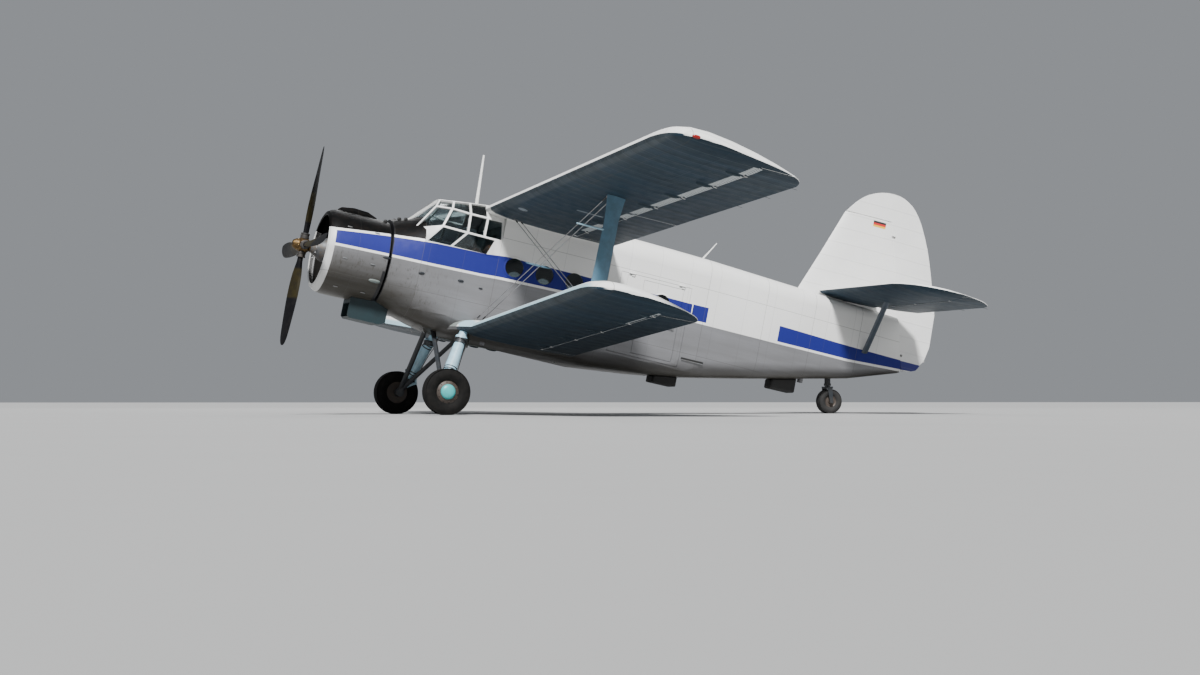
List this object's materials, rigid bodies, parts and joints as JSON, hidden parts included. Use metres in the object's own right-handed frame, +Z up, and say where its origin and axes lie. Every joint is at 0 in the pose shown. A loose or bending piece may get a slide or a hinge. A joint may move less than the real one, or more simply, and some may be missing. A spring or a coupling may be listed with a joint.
{
  "type": "radial-engined utility biplane",
  "caption": "Large single-engined cabin biplane on a tail-wheel undercarriage, with hung control surfaces, turning wheels and propeller, and an opening side door.",
  "frame": {"origin": "on the ground under the middle of the overall length, on the centre plane", "axes": "+X towards the nose, +Y towards the port wing tips, +Z up; the aircraft stands tail-down"},
  "size_m": [13.0412, 18.17, 4.7462],
  "materials": {
    "black_finish": "black paint",
    "floor_finish": "grey-green paint",
    "glass_finish": "tinted glazing",
    "leather_finish": "brown leather",
    "metal_finish": "dull dark metal",
    "rubber_finish": "black rubber",
    "silver_finish": "silver paint",
    "sky_finish": "light blue paint",
    "steel_finish": "steel",
    "teal_finish": "dark teal paint",
    "turquoise_finish": "turquoise paint",
    "underside_finish": "blue-grey paint",
    "white_finish": "gloss white paint"
  },
  "bodies": {
    "airframe": {"engine_cowl": "white_finish", "engine": "metal_finish", "oil_cooler_duct": "teal_finish", "exhaust_pipe": "metal_finish", "nose_section": "white_finish", "belly": "silver_finish", "wall_left": "white_finish", "wall_right": "white_finish", "roof": "white_finish", "tail_cone": "white_finish", "cockpit_frames": "white_finish", "cockpit_glass": "glass_finish", "cabin_bulkhead": "floor_finish", "instrument_panel": "black_finish", "pilot_seat_left": "leather_finish", "pilot_seat_right": "leather_finish", "upper_wing_left": "underside_finish", "upper_wing_right": "underside_finish", "lower_wing_left": "underside_finish", "lower_wing_right": "underside_finish", "interplane_strut_left": "sky_finish", "interplane_strut_right": "sky_finish", "flying_wires_left": "steel_finish", "flying_wires_right": "steel_finish", "landing_wires_left": "steel_finish", "landing_wires_right": "steel_finish", "oleo_leg_left": "sky_finish", "oleo_leg_right": "sky_finish", "axle_brace_left": "metal_finish", "axle_brace_right": "metal_finish", "tail_leg": "metal_finish", "stabilizer_left": "underside_finish", "stabilizer_right": "underside_finish", "tail_strut_left": "sky_finish", "tail_strut_right": "sky_finish", "fin": "white_finish", "mast_aerial": "white_finish", "belly_box_front": "black_finish", "belly_box_rear": "black_finish"},
    "propeller": {"propeller": "black_finish"},
    "wheel_left": {"main_tyre_left": "rubber_finish", "main_hub_left": "turquoise_finish"},
    "wheel_right": {"main_tyre_right": "rubber_finish", "main_hub_right": "turquoise_finish"},
    "tail_caster": {"tail_fork": "metal_finish"},
    "tail_wheel": {"tail_wheel": "rubber_finish"},
    "rudder": {"rudder": "white_finish"},
    "elevator_left": {"elevator_left": "underside_finish"},
    "elevator_right": {"elevator_right": "underside_finish"},
    "aileron_left": {"aileron_left": "underside_finish"},
    "aileron_right": {"aileron_right": "underside_finish"},
    "upper_flap_left": {"upper_flap_left": "underside_finish"},
    "upper_flap_right": {"upper_flap_right": "underside_finish"},
    "lower_flap_left": {"lower_flap_left": "underside_finish"},
    "lower_flap_right": {"lower_flap_right": "underside_finish"},
    "cargo_door": {"cargo_door": "white_finish"},
    "crew_door": {"crew_door": "white_finish"}
  },
  "joints": [
    {"name": "propeller_spin", "type": "hinge", "parent": "airframe", "child": "propeller", "pos_m": [6.13755, 0, 2.98273], "axis": [0.9788, 0, 0.205], "continuous": true},
    {"name": "wheel_left_spin", "type": "hinge", "parent": "airframe", "child": "wheel_left", "pos_m": [4.00167, 1.68, 0.4], "axis": [0, 1, 0], "continuous": true},
    {"name": "wheel_right_spin", "type": "hinge", "parent": "airframe", "child": "wheel_right", "pos_m": [4.00167, -1.68, 0.4], "axis": [0, 1, 0], "continuous": true},
    {"name": "tail_caster_swivel", "type": "hinge", "parent": "airframe", "child": "tail_caster", "pos_m": [-4.15846, 0, 0.51495], "axis": [0, 0, 1], "continuous": true},
    {"name": "tail_wheel_spin", "type": "hinge", "parent": "tail_caster", "child": "tail_wheel", "pos_m": [-4.18846, 0, 0.23495], "axis": [0, 1, 0], "continuous": true},
    {"name": "rudder_turn", "type": "hinge", "parent": "airframe", "child": "rudder", "pos_m": [-5.58819, 0, 3.3568], "axis": [0.0569, 0, 0.9984], "range_deg": [-28, 28]},
    {"name": "elevator_left_turn", "type": "hinge", "parent": "airframe", "child": "elevator_left", "pos_m": [-5.17486, 1.8, 2.11516], "axis": [0, 1, 0], "range_deg": [-22.5, 42.5]},
    {"name": "elevator_right_turn", "type": "hinge", "parent": "airframe", "child": "elevator_right", "pos_m": [-5.17486, -1.8, 2.11516], "axis": [0, 1, 0], "range_deg": [-22.5, 42.5]},
    {"name": "aileron_left_turn", "type": "hinge", "parent": "airframe", "child": "aileron_left", "pos_m": [1.31797, 6.3, 3.55447], "axis": [-0.01, 0.9988, 0.0478], "range_deg": [-14, 30]},
    {"name": "aileron_right_turn", "type": "hinge", "parent": "airframe", "child": "aileron_right", "pos_m": [1.31797, -6.3, 3.55447], "axis": [0.01, 0.9988, -0.0478], "range_deg": [-14, 30]},
    {"name": "upper_flap_left_turn", "type": "hinge", "parent": "airframe", "child": "upper_flap_left", "pos_m": [1.35657, 2.45, 3.37017], "axis": [-0.01, 0.9988, 0.0478], "range_deg": [-40, 0]},
    {"name": "upper_flap_right_turn", "type": "hinge", "parent": "airframe", "child": "upper_flap_right", "pos_m": [1.35657, -2.45, 3.37017], "axis": [0.01, 0.9988, -0.0478], "range_deg": [-40, 0]},
    {"name": "lower_flap_left_turn", "type": "hinge", "parent": "airframe", "child": "lower_flap_left", "pos_m": [1.97506, 3.7, 1.44172], "axis": [-0.0161, 0.9969, 0.0768], "range_deg": [-40, 0]},
    {"name": "lower_flap_right_turn", "type": "hinge", "parent": "airframe", "child": "lower_flap_right", "pos_m": [1.97506, -3.7, 1.44172], "axis": [0.0161, 0.9969, -0.0768], "range_deg": [-40, 0]},
    {"name": "cargo_door_swing", "type": "hinge", "parent": "airframe", "child": "cargo_door", "pos_m": [-0.25076, 0.876, 2.45895], "axis": [0.9783, 0.0294, 0.2049], "range_deg": [0, 95]},
    {"name": "crew_door_swing", "type": "hinge", "parent": "cargo_door", "child": "crew_door", "pos_m": [0.13915, 0.794, 1.78763], "axis": [-0.205, 0, 0.9788], "range_deg": [0, 90]}
  ]
}
